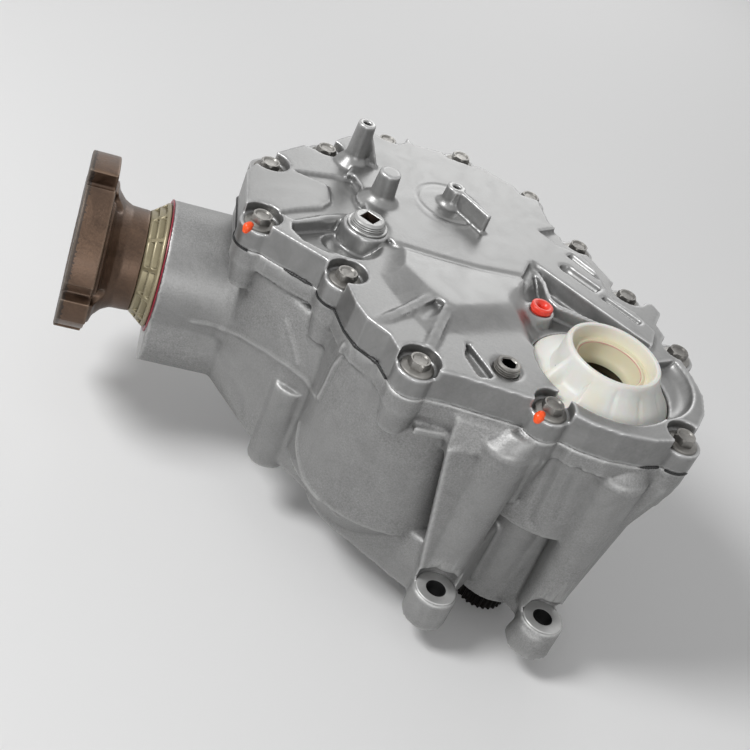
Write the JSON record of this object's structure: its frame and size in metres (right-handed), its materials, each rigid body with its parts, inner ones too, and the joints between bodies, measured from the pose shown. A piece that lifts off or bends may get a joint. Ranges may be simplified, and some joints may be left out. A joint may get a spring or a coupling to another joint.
{
  "type": "power transfer unit",
  "caption": "Right-angle transfer case of an all-wheel-drive car: lugs and hollow splined input below, gear train inside, flanged output to the side, ribbed cover.",
  "frame": {"origin": "on the input axis, in the plane of the transaxle lugs' faces", "axes": "+Z along the input shaft towards the cover, -X towards the output flange, -Y towards the side with the front lugs"},
  "size_m": [0.374, 0.2979, 0.22],
  "materials": {
    "cast_case": "as cast, fine sandy grain, satin",
    "cast_cover": "as cast, smooth, satin",
    "sealant": "cured sealant",
    "zinc_steel": "zinc plated",
    "dark_steel": "phosphated, dark",
    "gear_steel": "ground teeth",
    "bearing_steel": "ground",
    "plain_aluminium": "turned",
    "red_plastic": "moulded",
    "red_rubber": "moulded",
    "dark_rubber": "moulded",
    "oiled_steel": "forged, brown oil film",
    "khaki_plate": "yellow-grey plating, satin",
    "white_plastic": "milky moulded polyethylene"
  },
  "bodies": {
    "housing": {"case": "cast_case", "cover": "cast_cover", "joint_sealant": "sealant", "cover_bolts": "zinc_steel", "dowel_pins": "dark_steel", "fill_plug": "plain_aluminium", "fill_plug_washer": "plain_aluminium", "drain_plug": "zinc_steel", "vent_plug": "red_plastic", "input_seal": "dark_rubber", "half_shaft_seal": "red_rubber", "output_seal": "red_rubber", "input_cups": "bearing_steel", "idler_cups": "bearing_steel", "ring_cups": "bearing_steel", "pinion_cups": "bearing_steel"},
    "input": {"input_shaft": "dark_steel", "input_gear": "gear_steel", "input_cones": "bearing_steel"},
    "idler": {"idler_shaft": "dark_steel", "idler_gear": "gear_steel", "idler_cones": "bearing_steel"},
    "ring": {"ring_shaft": "dark_steel", "driven_gear": "gear_steel", "ring_gear": "gear_steel", "ring_gear_bolts": "zinc_steel", "ring_cones": "bearing_steel"},
    "pinion": {"pinion_shaft": "dark_steel", "pinion_gear": "gear_steel", "pinion_cones": "bearing_steel", "pinion_spacer": "gear_steel", "output_flange": "oiled_steel", "flange_washer": "zinc_steel", "flange_nut": "zinc_steel", "dust_shield": "khaki_plate"},
    "plug": {"bore_plug": "white_plastic"}
  },
  "joints": [
    {"name": "ring_spin", "type": "hinge", "parent": "housing", "child": "ring", "pos_m": [-0.08785, 0.11786, 0.09075], "axis": [0, 0, 1], "continuous": true},
    {"name": "idler_spin", "type": "hinge", "parent": "housing", "child": "idler", "pos_m": [-0.0863, 0.03188, 0.1], "axis": [0, 0, 1], "continuous": true},
    {"name": "input_spin", "type": "hinge", "parent": "housing", "child": "input", "pos_m": [0, 0, 0.1], "axis": [0, 0, 1], "continuous": true},
    {"name": "pinion_spin", "type": "hinge", "parent": "housing", "child": "pinion", "pos_m": [-0.2, 0.11786, 0.09075], "axis": [-1, 0, 0], "continuous": true},
    {"name": "plug_pull", "type": "slide", "parent": "housing", "child": "plug", "axis": [0, 0, 1], "range_m": [0, 0.05]}
  ],
  "couplings": [
    {"joint": "idler_spin", "follows": "ring_spin", "ratio": -0.65385},
    {"joint": "input_spin", "follows": "ring_spin", "ratio": 0.85},
    {"joint": "pinion_spin", "follows": "ring_spin", "ratio": -2.8462}
  ]
}
